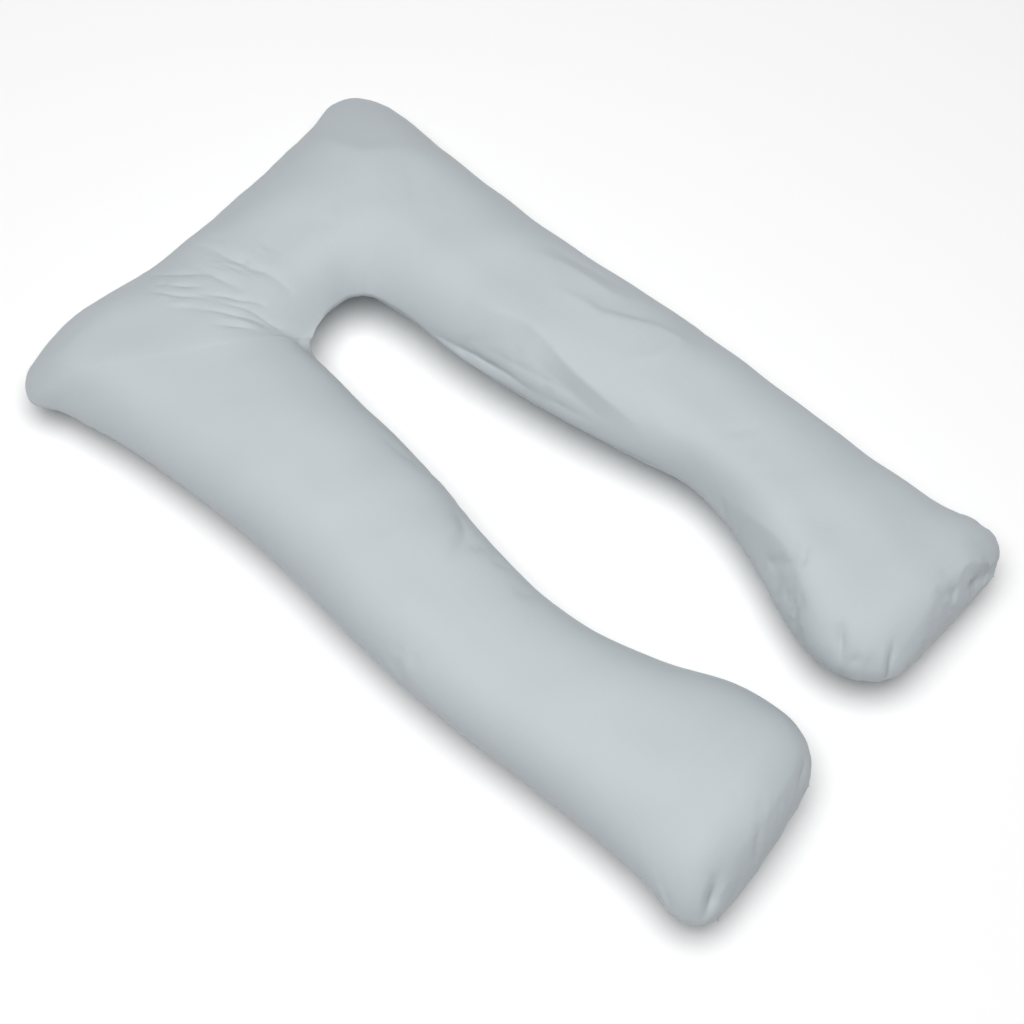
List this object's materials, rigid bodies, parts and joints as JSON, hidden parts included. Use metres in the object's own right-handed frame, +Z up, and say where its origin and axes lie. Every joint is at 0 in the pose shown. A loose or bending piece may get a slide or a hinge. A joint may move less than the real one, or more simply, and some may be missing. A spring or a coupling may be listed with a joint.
{
  "type": "body pillow",
  "caption": "U-shaped stuffed body pillow with a plain grey cloth cover, lying flat: a closed head end, long legs with a tapering gap between them, and broad rounded feet.",
  "frame": {"origin": "below the middle of the pillow's box, on the surface it rests on", "axes": "+Y from the feet towards the closed head end, +X towards the right leg as seen from above, +Z up"},
  "size_m": [0.815, 1.41, 0.1707],
  "materials": {
    "cover_cloth": "plain smooth woven cloth, pale cool grey, matt with a faint soft sheen"
  },
  "bodies": {
    "root": {"body_pillow": "cover_cloth"}
  },
  "joints": []
}
